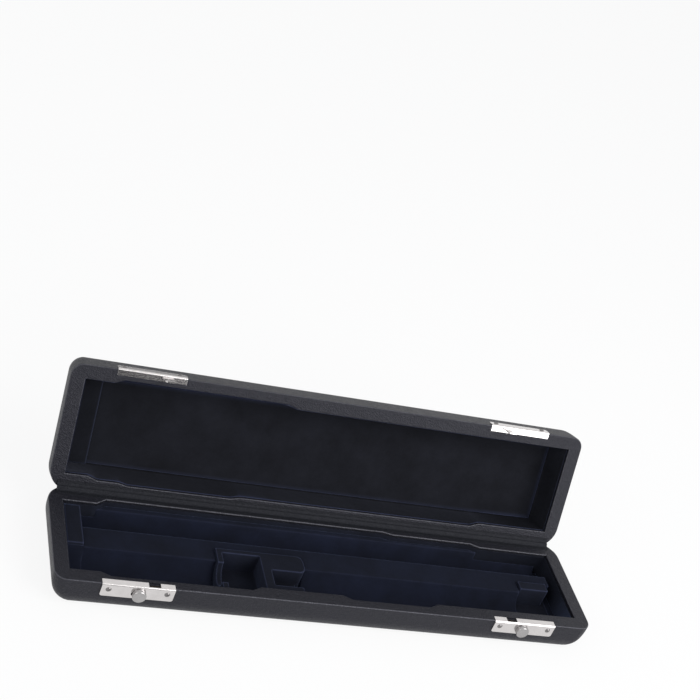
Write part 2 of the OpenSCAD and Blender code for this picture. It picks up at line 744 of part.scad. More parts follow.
// velvet lining of the lid: upright outside, leaning in to a plain flat top inside
module lid_lining() color(velvet) lid_open() difference() {
    translate([0, 0, base_h + half_gap + lining_drop])
        linear_extrude(lid_h - half_gap - lining_drop - cavity_z)
            polygon(opening(lid_front, lid_rear, 0));
    edge = opening(lid_front, lid_rear, lining_t);
    loft([
        [for (p = edge) [p[0], p[1], base_h - 1]],
        [for (p = edge) [p[0], p[1], base_h + half_gap + lining_drop]],
        lid_foot(lining_t, base_h + lid_inside)], opening_cap(len(edge)));
}

// pad on the lid's lining over the left ledge
module lid_end_pad() color(velvet) lid_open() {
    side = lining_t + lid_lean + lid_pad_gap;
    y0 = front_y + lid_front_thick + side;
    y1 = pin_y - lid_rear_thick - lining_t - lid_lean_rear - lid_pad_gap;
    translate([left_x + end_wall + side, y0, base_h + lid_inside - lid_pad_t])
        cube([lid_pad_l, y1 - y0, lid_pad_t]);
}

base_shell();
base_cover();
base_bed();
centre_rest();
end_rest_left();
end_rest_right();
hinge_leaf_base();
hinge_leaf_lid();
hinge_pin();
hinge_nails_base();
hinge_nails_lid();
hinge_strip();
latch_plate_left();
latch_knob_left();
latch_bolt_left();
latch_spring_left();
latch_housing_left();
latch_screws_left();
latch_plate_right();
latch_knob_right();
latch_bolt_right();
latch_spring_right();
latch_housing_right();
latch_screws_right();
lid_shell();
lid_cover();
lid_lining();
lid_end_pad();
catch_plate_left();
catch_hook_left();
catch_screws_left();
catch_plate_right();
catch_hook_right();
catch_screws_right();
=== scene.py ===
import math

import bmesh
import bpy
from mathutils import Matrix, Vector


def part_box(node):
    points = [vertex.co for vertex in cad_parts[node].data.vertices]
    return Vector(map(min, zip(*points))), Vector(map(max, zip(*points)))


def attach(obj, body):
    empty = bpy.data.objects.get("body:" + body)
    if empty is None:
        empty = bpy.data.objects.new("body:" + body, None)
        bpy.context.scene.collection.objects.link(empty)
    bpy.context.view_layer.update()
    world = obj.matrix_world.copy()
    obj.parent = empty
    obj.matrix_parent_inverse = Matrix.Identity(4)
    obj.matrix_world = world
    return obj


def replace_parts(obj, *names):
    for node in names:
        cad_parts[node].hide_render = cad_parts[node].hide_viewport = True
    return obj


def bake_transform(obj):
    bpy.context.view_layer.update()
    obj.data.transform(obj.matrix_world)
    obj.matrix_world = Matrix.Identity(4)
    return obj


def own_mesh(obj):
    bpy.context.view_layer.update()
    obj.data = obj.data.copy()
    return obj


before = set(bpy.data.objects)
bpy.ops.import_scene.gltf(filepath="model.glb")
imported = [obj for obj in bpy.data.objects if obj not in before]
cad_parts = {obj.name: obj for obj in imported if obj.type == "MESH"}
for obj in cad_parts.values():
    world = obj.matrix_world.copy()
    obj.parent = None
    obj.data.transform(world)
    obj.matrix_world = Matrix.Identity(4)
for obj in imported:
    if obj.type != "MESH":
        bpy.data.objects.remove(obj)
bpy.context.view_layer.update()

# ---- camera ---------------------------------------------------------------------------------

cam_data = bpy.data.cameras.new("camera")
cam_data.sensor_width = 36
cam_data.lens = 75.8346
cam_data.clip_start, cam_data.clip_end = 0.05, 50
cam = bpy.data.objects.new("camera", cam_data)
bpy.context.scene.collection.objects.link(cam)
cam.rotation_mode = "QUATERNION"
cam.location = (-0.393326, -0.720572, 0.671900)
cam.rotation_quaternion = (0.8683941, 0.4515658, -0.2040517, -0.0185192)
bpy.context.scene.camera = cam
bpy.context.scene.view_settings.view_transform = "Standard"

# ---- sizes of the CAD model, in millimetres -------------------------------------------------

MM = 0.001
CASE_L, CASE_D, BASE_H, LID_H = 395.0, 90.5, 24.0, 27.0
HALF_GAP = 0.2  # each half ends this far from the parting plane
LX, RX = -CASE_L / 2, CASE_L / 2
FRONT, REAR = -CASE_D / 2, CASE_D / 2
PIN = REAR - 2.5  # y of the hinge's axis, which lies in the parting plane
OPEN = 110.0  # degrees from shut to open
FRONT_R, REAR_R = 8.5, 16.0  # corners seen from above
END_RUN, END_RISE, SIDE_RUN, SIDE_RISE = 15.0, 20.0, 9.0, 12.0  # towards the flat faces
COVER, END_WALL = 1.2, 10.0
LIP = 0.45  # the cover is turned in over the edge of the opening by this
LINING, LINING_DROP = 1.2, 2.2
CAVITY, BED_FLOOR = 4.0, 1.4
BED_Z = CAVITY + 0.05  # the velvet pieces' underside
LINING_OUT = LIP + 0.05  # outer face of the wall linings, just inside the cover's lip
SHELF, REST = BASE_H - 5.0, BASE_H - 3.0
BODY_R, BAY_R = 9.3, 12.7
LATCH = 142.3  # x of a plate's middle
PLATE_L, FLANGE = 48.6, 4.2
HINGE = CASE_L / 2 - REAR_R  # half the hinge's length
STRIP_W, STRIP_LID_W, STRIP_Z, STRIP_T = 6.2, 5.1, -0.75, 0.6

# ---- rims, whose walls change thickness in short jogs ---------------------------------------

JOG = 7.0
FRONT_T, REAR_T, THIN_T = 10.3, 11.6, 6.9
LID_FRONT_T, LID_REAR_T, LID_THIN_T = 9.6, 9.7, 7.1


def steps(first, jogs):
    """Wall thickness along x: first at the left end, then each jog's (middle, next thickness)."""
    out, w = [], first
    for x, to in jogs:
        out += [(x - JOG / 2, w), (x + JOG / 2, to)]
        w = to
    return out


BASE_FRONT = steps(FRONT_T, [(LX + 34, THIN_T), (-60, FRONT_T), (6, THIN_T), (72, FRONT_T)])
BASE_REAR = steps(REAR_T, [(LX + 37, 6.8), (54.5, 8.7), (RX - 71.5, REAR_T)])
LID_FRONT = steps(LID_FRONT_T, [(LX + 34, THIN_T), (-38, LID_FRONT_T)])
LID_REAR = steps(LID_REAR_T, [
    (LX + 29.5, LID_THIN_T), (LX + 51.5, 5.6), (-64.5, LID_THIN_T), (RX - 71.5, LID_REAR_T)])


def lookup(x, table):
    if x <= table[0][0]:
        return table[0][1]
    for (x0, w0), (x1, w1) in zip(table, table[1:]):
        if x <= x1:
            return w0 + (w1 - w0) * (x - x0) / (x1 - x0)
    return table[-1][1]


def opening(front, rear, g):
    """Inner edge of a rim, set in by g, counter-clockwise from the front left corner."""
    end = CASE_L / 2 - END_WALL - g
    xs = [-end] + sorted({x for x, _ in front + rear}) + [end]
    before = [(x, FRONT + lookup(x, front) + g) for x in xs]
    return before + [(x, PIN - lookup(x, rear) - g) for x in reversed(xs)]


# ---- mesh helpers, in millimetres -----------------------------------------------------------

WELD = 1e-7  # metres


def make(name, verts, faces):
    me = bpy.data.meshes.new(name)
    me.from_pydata([[c * MM for c in v] for v in verts], [], faces)
    bm = bmesh.new()
    bm.from_mesh(me)
    bmesh.ops.remove_doubles(bm, verts=bm.verts, dist=WELD)
    bmesh.ops.recalc_face_normals(bm, faces=bm.faces)
    bm.to_mesh(me)
    bm.free()
    ob = bpy.data.objects.new(name, me)
    bpy.context.scene.collection.objects.link(ob)
    return ob


def loft(name, rings, closed=False):
    """Skin through rings of equal length: capped, or closed from the last ring to the first."""
    n, m = len(rings[0]), len(rings)
    verts = [v for r in rings for v in r]
    faces = []
    for k in range(m if closed else m - 1):
        a, b = k * n, ((k + 1) % m) * n
        for i in range(n):
            j = (i + 1) % n
            faces.append((a + i, a + j, b + j, b + i))
    if not closed:
        faces += [tuple(range(n - 1, -1, -1)), tuple((m - 1) * n + i for i in range(n))]
    return make(name, verts, faces)


def box(x0, x1, y0, y1, z0, z1, name="cutter"):
    return loft(name, [[(x0, y0, z), (x1, y0, z), (x1, y1, z), (x0, y1, z)] for z in (z0, z1)])


def prism(outline, z0, z1, name="cutter"):
    return loft(name, [[(x, y, z) for x, y in outline] for z in (z0, z1)])


def along_x(outline, x0, x1):
    return loft("cutter", [[(x, y, z) for y, z in outline] for x in (x0, x1)])


def sweep(angle, n, first=0):
    """Angles of n equal steps up to angle, from step first."""
    return [angle * i / n for i in range(first, n + 1)]


def circle(cy, cz, r, n=48):
    around = sweep(2 * math.pi, n)[:-1]
    return [(cy + r * math.cos(a), cz + r * math.sin(a)) for a in around]


def bore_y(x, z, r, y0, y1):
    bore = circle(0, 0, r, 32)
    return loft("cutter", [[(x + px, y, z + pz) for px, pz in bore] for y in (y0, y1)])


def bake(ob):
    """Applies the modifiers of ob."""
    dg = bpy.context.evaluated_depsgraph_get()
    me = bpy.data.meshes.new_from_object(ob.evaluated_get(dg))
    ob.modifiers.clear()
    ob.data = me
    return ob


def cut(ob, cutters, op="DIFFERENCE"):
    for c in cutters:
        mod = ob.modifiers.new("cut", "BOOLEAN")
        mod.object, mod.operation, mod.solver = c, op, "EXACT"
    bake(ob)
    for c in cutters:
        bpy.data.objects.remove(c)
    return ob


def soften(ob, voxel, rounds, keep):
    """Rounds a padded block's edges, as cloth over foam does, and keeps a share of its faces."""
    mod = ob.modifiers.new("soft", "REMESH")
    mod.mode, mod.voxel_size, mod.adaptivity = "VOXEL", voxel * MM, 0
    mod = ob.modifiers.new("smooth", "SMOOTH")
    mod.factor, mod.iterations = 0.5, rounds
    mod = ob.modifiers.new("light", "DECIMATE")
    mod.ratio = keep
    bake(ob)
    ob.data.shade_smooth()
    ob.modifiers.new("normals", "WEIGHTED_NORMAL")
    return ob


def crisp(ob, angle=30):
    """Smooth shading that keeps real edges, with flat faces left flat."""
    ob.data.shade_smooth()
    ob.data.set_sharp_from_angle(angle=math.radians(angle))
    mod = ob.modifiers.new("normals", "WEIGHTED_NORMAL")
    mod.keep_sharp = True
    return ob


OPEN_LID = (
    Matrix.Translation((0, PIN * MM, BASE_H * MM))
    @ Matrix.Rotation(math.radians(-OPEN), 4, "X")
    @ Matrix.Translation((0, -PIN * MM, -BASE_H * MM))
)
TURN_OVER = Matrix.Translation((0, 0, (BASE_H + LID_H) * MM)) @ Matrix.Scale(-1, 4, (0, 0, 1))


def to_lid(ob):
    """What is made flat face down at the origin becomes part of the open lid."""
    ob.data.transform(OPEN_LID @ TURN_OVER)
    ob.data.flip_normals()
    return ob


# ---- shader helpers -------------------------------------------------------------------------


def material(name):
    mat = bpy.data.materials.new(name)
    mat.use_nodes = True
    nt = mat.node_tree
    return mat, nt, nt.nodes["Principled BSDF"]


def feed(nt, n, inputs):
    """Gives the inputs of node n, by name or number, a link or a plain value each."""
    for key, value in inputs.items():
        if isinstance(value, bpy.types.NodeSocket):
            nt.links.new(value, n.inputs[key])
        else:
            n.inputs[key].default_value = value
    return n


def node(nt, kind, inputs, **settings):
    n = nt.nodes.new("ShaderNode" + kind)
    for key, value in settings.items():
        setattr(n, key, value)
    return feed(nt, n, inputs)


def coords(nt, kind="Object"):
    return node(nt, "TexCoord", {}).outputs[kind]


def noise(nt, coord, scale, detail=4.0, rough=0.55):
    """Noise with scale waves to the metre."""
    n = node(nt, "TexNoise", {"Vector": coord, "Scale": scale, "Detail": detail,
                              "Roughness": rough})
    return n.outputs["Fac"]


def ramp(nt, fac, a, b, p0=0.3, p1=0.7):
    n = node(nt, "ValToRGB", {"Fac": fac})
    for stop, at, color in zip(n.color_ramp.elements, (p0, p1), (a, b)):
        stop.position, stop.color = at, (*color, 1)
    return n.outputs["Color"]


def span(nt, fac, lo, hi):
    return node(nt, "MapRange", {"Value": fac, "To Min": lo, "To Max": hi}).outputs["Result"]


def calc(nt, operation, *values):
    return node(nt, "Math", dict(enumerate(values)), operation=operation).outputs[0]


def blend_shaders(nt, fac, a, b):
    return node(nt, "MixShader", {0: fac, 1: a, 2: b}).outputs[0]


def bump(nt, height, strength, distance, normal=None):
    n = node(nt, "Bump", {"Height": height, "Strength": strength, "Distance": distance})
    if normal:
        feed(nt, n, {"Normal": normal})
    return n.outputs["Normal"]


def round_edges(nt, radius):
    return node(nt, "Bevel", {"Radius": radius}, samples=4).outputs["Normal"]


# ---- materials ------------------------------------------------------------------------------

PEBBLES, PEBBLE_WARP = 1150.0, 0.0009
# painted highlight: the colour that the velvet's convex bends are mixed towards
PAINTED_EDGE_HIGHLIGHT = (0.042, 0.050, 0.095, 1)
# painted light and shade on the velvet: factors for upright faces and for faces that look up
UPRIGHT_PAINTED_LIGHT, FACE_UP_PAINTED_SHADE = 1.35, 0.80  # how light the velvet is
LID_BENDS, LID_TINT = (0.503, 0.54), (0.34, 0.37, 0.52)


def leatherette(name, low, high, rough, specular):
    """Pebbled cover material, in base colours from low to high."""
    mat, nt, bsdf = material(name)
    co = coords(nt)
    shift = node(nt, "TexNoise", {"Vector": co, "Scale": 420.0, "Detail": 2.0}).outputs["Color"]
    bent = node(nt, "VectorMath", {0: shift, 1: (PEBBLE_WARP,) * 3, 2: co},
                operation="MULTIPLY_ADD")
    pebbles = node(nt, "TexVoronoi", {"Vector": bent.outputs["Vector"], "Scale": PEBBLES,
                                      "Smoothness": 0.35}, feature="SMOOTH_F1")
    normal = bump(nt, noise(nt, co, 130), 0.3, 0.0003, round_edges(nt, 0.00015))
    normal = bump(nt, noise(nt, co, 560, 3), 0.55, 0.00045, normal)
    feed(nt, bsdf, {
        "Base Color": ramp(nt, noise(nt, co, 620, 3), low, high),
        "Roughness": span(nt, noise(nt, co, 210), *rough),
        "Normal": bump(nt, pebbles.outputs["Distance"], 0.8, 0.0003, normal),
        "Specular IOR Level": specular,
        "Specular Tint": (0.90, 0.90, 1.0, 1),
    })
    return mat


def velvet(name, low, high, edge_highlight, bends=(0.52, 0.62), tint=(0.26, 0.33, 0.58)):
    """Short pile between two tones; edge_highlight is how strongly its convex bends get a painted
    highlight.
    """
    mat, nt, bsdf = material(name)
    co = coords(nt)
    # painted light and shade: an upright face is lightened and a face that looks up is darkened,
    # evening out how the lamps light them
    axes = node(nt, "SeparateXYZ", {0: coords(nt, "Normal")})
    painted_facing_light = span(nt, calc(nt, "ABSOLUTE", axes.outputs["Z"]), UPRIGHT_PAINTED_LIGHT, FACE_UP_PAINTED_SHADE)
    nap = ramp(nt, noise(nt, co, 38, 6, 0.65), low, high)
    shade = node(nt, "VectorMath", {0: nap, "Scale": painted_facing_light}, operation="SCALE")
    # painted highlight: convex bends are mixed towards a lighter colour, as where the pile catches
    # the light
    curved = node(nt, "NewGeometry", {}).outputs["Pointiness"]
    painted_highlight = node(nt, "MapRange", {"Value": curved, "From Min": bends[0], "From Max": bends[1],
                                 "To Max": edge_highlight})
    color = node(nt, "Mix", {"Factor": painted_highlight.outputs["Result"], "A": shade.outputs[0],
                             "B": PAINTED_EDGE_HIGHLIGHT}, data_type="RGBA")
    normal = bump(nt, noise(nt, co, 90), 0.5, 0.0006)
    feed(nt, bsdf, {
        "Base Color": color.outputs["Result"],
        "Roughness": 0.95,
        "Specular IOR Level": 0.15,
        "Sheen Weight": 0.30,
        "Sheen Roughness": 0.35,
        "Sheen Tint": (*tint, 1),
        "Normal": bump(nt, noise(nt, co, 2200, 2), 0.5, 0.00012, normal),
    })
    return mat


def metal(name, color, rough, brushed=0.0):
    """Metal with fine lines along x, which brushed makes deeper."""
    mat, nt, bsdf = material(name)
    co = coords(nt)
    lines = node(nt, "Mapping", {"Vector": co, "Scale": (60, 2600, 2600)})
    scratch = noise(nt, lines.outputs["Vector"], 1.0, 3)
    dark = tuple(c * 0.9 for c in color)
    feed(nt, bsdf, {
        "Metallic": 1.0,
        "Base Color": ramp(nt, noise(nt, co, 160, 5), dark, color),
        "Roughness": span(nt, noise(nt, co, 700, 5), rough * 0.75, rough * 1.25),
        "Normal": bump(nt, scratch, 0.05 + brushed, 0.00003, round_edges(nt, 0.00018)),
    })
    return mat


def plywood_painted_shade():
    mat, nt, bsdf = material("plywood_painted_shade")
    rings = node(nt, "Mapping", {"Vector": coords(nt), "Scale": (8, 140, 400)})
    grain = noise(nt, rings.outputs["Vector"], 1.0, 6, 0.6)
    feed(nt, bsdf, {
        # wood grain between two tones, both darkened as painted shade so that the latch pockets,
        # where the wood shows, look shaded
        "Base Color": ramp(nt, grain, (0.030, 0.022, 0.016), (0.070, 0.052, 0.036)),
        "Roughness": 0.7,
        "Normal": bump(nt, grain, 0.2, 0.0002),
    })
    return mat


LEATHER = leatherette(
    "leatherette", (0.0060, 0.0062, 0.0095), (0.0150, 0.0152, 0.0200), (0.38, 0.52), 0.3)
LEATHER_STRIP = leatherette(
    "leatherette_strip", (0.0040, 0.0045, 0.0062), (0.0090, 0.0098, 0.0128), (0.52, 0.68), 0.22)
# painted highlight: a lighter base colour for the rims' rounded edges, with lower roughness and
# more specular
LEATHER_EDGE_HIGHLIGHT = leatherette(
    "leatherette_edge_highlight", (0.022, 0.022, 0.028), (0.040, 0.040, 0.048), (0.28, 0.38), 0.5)
PLY_PAINTED_SHADE = plywood_painted_shade()
VELVET = velvet(
    "velvet", (0.0048, 0.0056, 0.0098), (0.0090, 0.0108, 0.0200), 0.75, (0.505, 0.55))
WALL_VELVET = velvet("wall_velvet", (0.0045, 0.0052, 0.0085), (0.0085, 0.0100, 0.0170), 0.15)
BED_VELVET = velvet("bed_velvet", (0.0050, 0.0062, 0.0122), (0.0090, 0.0116, 0.0250), 0.6)
LID_VELVET = velvet(
    "lid_velvet", (0.0048, 0.0052, 0.0074), (0.0096, 0.0103, 0.0146), 0.9, LID_BENDS, LID_TINT)
PAD_VELVET = velvet(
    "pad_velvet", (0.0040, 0.0044, 0.0064), (0.0082, 0.0090, 0.0130), 0.35, LID_BENDS, LID_TINT)
NICKEL = metal("nickel", (0.67, 0.645, 0.64), 0.16)
KNOB = metal("knob_nickel", (0.41, 0.40, 0.40), 0.20, 0.1)
# screw heads in a darker steel than the plates, their own tone and painted shade for their
# recesses
SCREW = metal("screw_steel_painted_shade", (0.22, 0.21, 0.21), 0.30, 0.1)
STEEL = metal("steel", (0.50, 0.50, 0.51), 0.32, 0.1)

# the first word found in a CAD node's name gives its material, and else it is steel
CAD_MATERIALS = [("shell", PLY_PAINTED_SHADE), ("knob", KNOB), ("screws", SCREW), ("latch_plate", NICKEL),
                 ("catch", NICKEL)]


def paint(ob, mat):
    ob.data.materials.clear()
    ob.data.materials.append(mat)
    return ob


for name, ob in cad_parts.items():
    paint(ob, next((mat for word, mat in CAD_MATERIALS if word in name), STEEL))

# ---- latch springs, in the boxes of their CAD nodes -----------------------------------------

TURNS, TURN_STEPS, WIRE, WIRE_SIDES = 7, 20, 0.2, 8


def spring(side):
    """Coil in the box of its CAD node, held by the housing at its outward end (-1 or 1 in x)."""
    lo, hi = (Vector(c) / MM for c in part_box("latch_spring_" + side))
    cy, cz = (lo.y + hi.y) / 2, (lo.z + hi.z) / 2
    r = (hi.z - lo.z) / 2 - WIRE
    start, run = lo.x + WIRE, hi.x - lo.x - 2 * WIRE
    around = sweep(2 * math.pi, WIRE_SIDES)[:-1]
    rings = []
    for i in range(TURNS * TURN_STEPS + 1):
        t = 2 * math.pi * i / TURN_STEPS
        x, out = start + run * i / (TURNS * TURN_STEPS), (math.cos(t), math.sin(t))
        rings.append([(x + WIRE * math.sin(a), cy + (r + WIRE * math.cos(a)) * out[0],
                       cz + (r + WIRE * math.cos(a)) * out[1]) for a in around])
    ob = loft("latch_coil_" + side, rings)
    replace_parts(crisp(paint(ob, STEEL), 50), "latch_spring_" + side)
    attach(ob, "base")
    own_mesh(ob)


spring("left")
spring("right")

# ---- leatherette covers ---------------------------------------------------------------------

RIM_R = 0.8
RIM_STEPS = [RIM_R, 0.55, 0.33, 0.16, 0.05, 0.0]
SIDE_STEPS, CORNER_STEPS, EDGE_STEPS = 18, 14, 6
SKIN_T, OVERCUT = COVER - 0.1, 0.02  # the wood is cut out of the cover a little too large
ROUT_Z, WOOD_Z = CAVITY - 0.3, CAVITY - 0.25  # bottoms of the cover's opening and the wood's
BEVEL_L, BEVEL_EASE = 9, 0.3  # each half is bevelled at the hinge, so that the lid can lie back
KNUCKLE_R, LEAF_W, LEAF_T, SLACK = 1.5, 4.7, 1.4, 0.1  # room for the hinge
CLEAR = 2  # cutters stand out of the parting plane by this


def run_in(d, h, run, rise):
    """How far a side has curved in at depth d below the rim, up to run at the flat face, at h."""
    if d <= h - rise:
        return 0.0
    return run * (1 - math.sqrt(max(0.0, 1 - ((d - h + rise) / rise) ** 2)))


def rim_in(d):
    return 0.0 if d >= RIM_R else RIM_R - math.sqrt(RIM_R * RIM_R - (RIM_R - d) ** 2)


def ring(d, h, g, z):
    """Outline of a half at depth d below its rim, set in by g, at height z."""
    ex = run_in(d, h, END_RUN, END_RISE) + rim_in(d) + g
    ey = run_in(d, h, SIDE_RUN, SIDE_RISE) + rim_in(d) + g
    shrink = 0.15 * (ex + ey)
    x, y = CASE_L / 2 - ex, CASE_D / 2 - ey
    out = []
    for cx, cy, cr, a0 in [(x, y, REAR_R, 0), (-x, y, REAR_R, 90),
                           (-x, -y, FRONT_R, 180), (x, -y, FRONT_R, 270)]:
        r = max(cr - shrink, 2)
        for i in range(CORNER_STEPS + 1):
            a = math.radians(a0 + 90 * i / CORNER_STEPS)
            out.append((cx + r * (math.cos(a) - math.copysign(1, cx)),
                        cy + r * (math.sin(a) - math.copysign(1, cy)), z))
    return out


def half_form(name, h, g):
    """Solid outer form of a half of height h, its flat face down, set in by g."""
    ds = [h - END_RISE + END_RISE * math.sin(a) for a in reversed(sweep(math.pi / 2, SIDE_STEPS))]
    return loft(name, [ring(d, h, g, g + (1 - d / h) * (h - 2 * g)) for d in ds + RIM_STEPS])


def cover(name, plane, front, rear, strip_w, cuts):
    """Cover of one half, flat face down, its parting plane at height plane."""
    h = plane - HALF_GAP
    skin = half_form(name, h, 0)
    rout = [(LIP, ROUT_Z), (LIP, h - RIM_R)]
    rout += [(LIP - RIM_R * (1 - math.cos(a)), h - RIM_R + RIM_R * math.sin(a))
             for a in sweep(math.pi / 2, EDGE_STEPS, 1)]
    rout.append((LIP - RIM_R, h + 3))
    router = loft("cutter", [[(x, y, z) for x, y in opening(front, rear, g)] for g, z in rout])
    wood = half_form("cutter", h, SKIN_T)
    cut(wood, [prism(opening(front, rear, OVERCUT), WOOD_Z, h + 5)])
    a = math.radians(OPEN / 2 + BEVEL_EASE)
    bevel = [(0, 0), (BEVEL_L * math.cos(a), -BEVEL_L * math.sin(a)), (14, 0), (14, 4), (0, 4)]
    end = HINGE + SLACK
    return cut(skin, [
        router,
        wood,
        along_x([(PIN + y, plane + z) for y, z in bevel], LX - 1, RX + 1),
        along_x(circle(PIN, plane, KNUCKLE_R), -end, end),
        box(-end, end, PIN - LEAF_W, PIN + 0.2, plane - LEAF_T, plane + CLEAR),
        box(LX - 1, RX + 1, PIN - strip_w - 0.05, PIN + 3, plane + STRIP_Z - 0.02, plane + CLEAR),
    ] + cuts)


PLATE_FIT, SEAT_T = 0.06, 1.02
SCREW_X, SCREW_R, SCREW_L = 19.5, 1.05, 5.5
LATCH_SCREW_DOWN, HOOK_SCREW_DOWN = 4.6, 4.4  # below the parting plane
# from and to in u, y and z, where u runs from a plate's middle towards the case's middle
LATCH_POCKETS = [
    (-16.75, 10.8, FRONT - 1, FRONT + 3.5, 14.2, 20.8),  # bolt, spring and housing
    (6.45, 14.55, FRONT - 0.9, FRONT + 2.85, 14.05, BASE_H + 1),  # the hook when shut
]
HOOK_POCKETS = [(6.95, 14.05, FRONT + 0.75, FRONT + 1.85, LID_H - 6.05, LID_H + 1)]


def plate_room(plane, screw_down, pockets):
    """Cutters for both plates of a half: seats, pockets and screw holes."""
    out = []
    half = PLATE_L / 2 + PLATE_FIT
    seat = (-half, half, FRONT - 1, FRONT + FLANGE + PLATE_FIT, plane - SEAT_T, plane + CLEAR)
    for s in (-1, 1):
        for u0, u1, *yz in [seat] + pockets:
            out.append(box(*sorted((s * (LATCH - u0), s * (LATCH - u1))), *yz))
        for u in (-SCREW_X, SCREW_X):
            out.append(bore_y(s * (LATCH - u), plane - screw_down, SCREW_R,
                              FRONT - 1, FRONT + SCREW_L))
    return out


def with_edge_highlight(ob, plane):
    """Leather, with a painted highlight on the turned edges: there a lighter leatherette, also
    smoother and glossier.
    """
    paint(ob, LEATHER)
    ob.data.materials.append(LEATHER_EDGE_HIGHLIGHT)
    rim = (plane - HALF_GAP) * MM
    # painted highlight: the faces of the rim's roundings get the lighter edge material
    for f in ob.data.polygons:
        if rim - RIM_R * MM < f.center.z < rim and 0.25 < f.normal.z < 0.93:
            f.material_index = 1
    return ob


base_cover = cover("base_leatherette", BASE_H, BASE_FRONT, BASE_REAR, STRIP_W,
                   plate_room(BASE_H, LATCH_SCREW_DOWN, LATCH_POCKETS))
crisp(with_edge_highlight(base_cover, BASE_H))
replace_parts(base_cover, "base_cover")
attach(base_cover, "base")

lid_cover = cover("lid_leatherette", LID_H, LID_FRONT, LID_REAR, STRIP_LID_W,
                  plate_room(LID_H, HOOK_SCREW_DOWN, HOOK_POCKETS))
crisp(to_lid(with_edge_highlight(lid_cover, LID_H)))
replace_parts(lid_cover, "lid_cover")
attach(lid_cover, "lid")

# ---- strip over the hinge -------------------------------------------------------------------

WRAP_R = 1.35  # inner radius over the knuckles
FAN_START, FAN_TURN = 162, OPEN - 36  # the arc over them, in degrees
BASE_FLAT, LID_FLAT = (STRIP_W, 5.4, 4.5, 3.6, 2.9), (2.9, 3.6, 4.4, STRIP_LID_W)
SKIVE = 0.12  # the strip's edges are thinned by this
STRIP_END = 6.5
FAN_STEPS, STRIP_STEPS = 10, 120
STRIP_L = CASE_L - 2 * STRIP_END


def strip_profile():
    """The strip's section, from the base over the knuckles to the lid, and back on its outside."""
    turn = math.radians(OPEN)
    lid_dir = Vector((-math.cos(turn), math.sin(turn)))
    lid_out = Vector((-math.sin(turn), -math.cos(turn)))
    fan = [math.radians(FAN_START - FAN_TURN * i / FAN_STEPS) for i in range(FAN_STEPS + 1)]

    def path(h):
        pts = [Vector((-w, STRIP_Z + h)) for w in BASE_FLAT]
        pts += [(WRAP_R + h) * Vector((math.cos(a), math.sin(a))) for a in fan]
        pts += [w * lid_dir + (STRIP_Z + h) * lid_out for w in LID_FLAT]
        return pts

    low, high = path(0.0), path(STRIP_T)
    high[0] += Vector((SKIVE, -SKIVE))
    high[-1] -= SKIVE * lid_dir + SKIVE * lid_out
    return low + high[::-1]


prof = strip_profile()
xs = [LX + STRIP_END + STRIP_L * i / STRIP_STEPS for i in range(STRIP_STEPS + 1)]
strip = loft("hinge_strip_cloth", [[(x, PIN + p.x, BASE_H + p.y) for p in prof] for x in xs])
crisp(strip, 50)
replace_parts(paint(strip, LEATHER_STRIP), "hinge_strip")
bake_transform(strip)

# ---- velvet bed -----------------------------------------------------------------------------

BED_TOP_Z = CAVITY + BED_FLOOR
BED_Y0 = FRONT + FRONT_T + LINING
BAY_Y, BAY_Z = BED_Y0 + BAY_R, BED_TOP_Z + BAY_R
BODY_Y, BODY_Z = PIN - REAR_T - LINING - BODY_R, BED_TOP_Z + BODY_R
LEDGE_L, SLOT_L, LEDGE_SINK = 12.5, 6.5, 0.5
LEDGE_X, SLOT_X = LX + END_WALL + LEDGE_L, RX - END_WALL - SLOT_L
REST_X0, REST_X1, REST_MID, REST_W, REST_WALL, STEM = -83.0, -19.5, -48.1, 36.0, 4, 7.0
TONGUE, TONGUE_R, SEAT, SEAT_RISE = 16.0, 4.5, 14.5, 4
END_REST_L, END_REST_W, RIDGE_L, RIDGE_W = 28.0, 35.0, 23.0, 8.0
SADDLE_R, SADDLE_RISE = 14.6, 3
BACK_CUT, BACK_LAP = 68, 0.4  # the channel's rear wall is cut away over this length
REST_GAP, REST_FOOT = 0.3, CAVITY + 0.6
ROLL_STEPS = 8
FAR = 60


def channel(x0, x1, y, z, r):
    """Trough of radius r along x, open upwards."""
    arc = [(y + r * math.cos(a), z - r * math.sin(a)) for a in sweep(math.pi, 28)]
    return along_x(arc + [(y - r, z + 40), (y + r, z + 40)], x0, x1)


def wall_lining(front, rear, top, bottom):
    """Velvet on the walls: its top edge rolls over towards the cover."""
    lo, hi = LINING_OUT, LINING + 0.15
    mid, r = (lo + hi) / 2, (hi - lo) / 2
    section = [(lo, bottom)]
    section += [(mid - r * math.cos(a), top - r + r * math.sin(a))
                for a in sweep(math.pi, ROLL_STEPS)]
    section.append((hi, bottom))
    rings = [[(x, y, z) for x, y in opening(front, rear, g)] for g, z in section]
    return loft("lining", rings, closed=True)


def join(a, b, second):
    """Adds b to a, in the material second."""
    bm = bmesh.new()
    bm.from_mesh(a.data)
    own = len(bm.faces)
    bm.from_mesh(b.data)
    bm.faces.ensure_lookup_table()
    for f in bm.faces[own:]:
        f.material_index = 1
    bm.to_mesh(a.data)
    bm.free()
    bpy.data.objects.remove(b)
    a.data.materials.append(second)
    return a


def inside_base():
    """What fits between the linings of the base's walls."""
    return prism(opening(BASE_FRONT, BASE_REAR, LINING + 0.05), CAVITY, FAR)


rest_y1, ridge_y1 = BED_Y0 + REST_W, BED_Y0 + END_REST_W
end_x0 = SLOT_X - END_REST_L

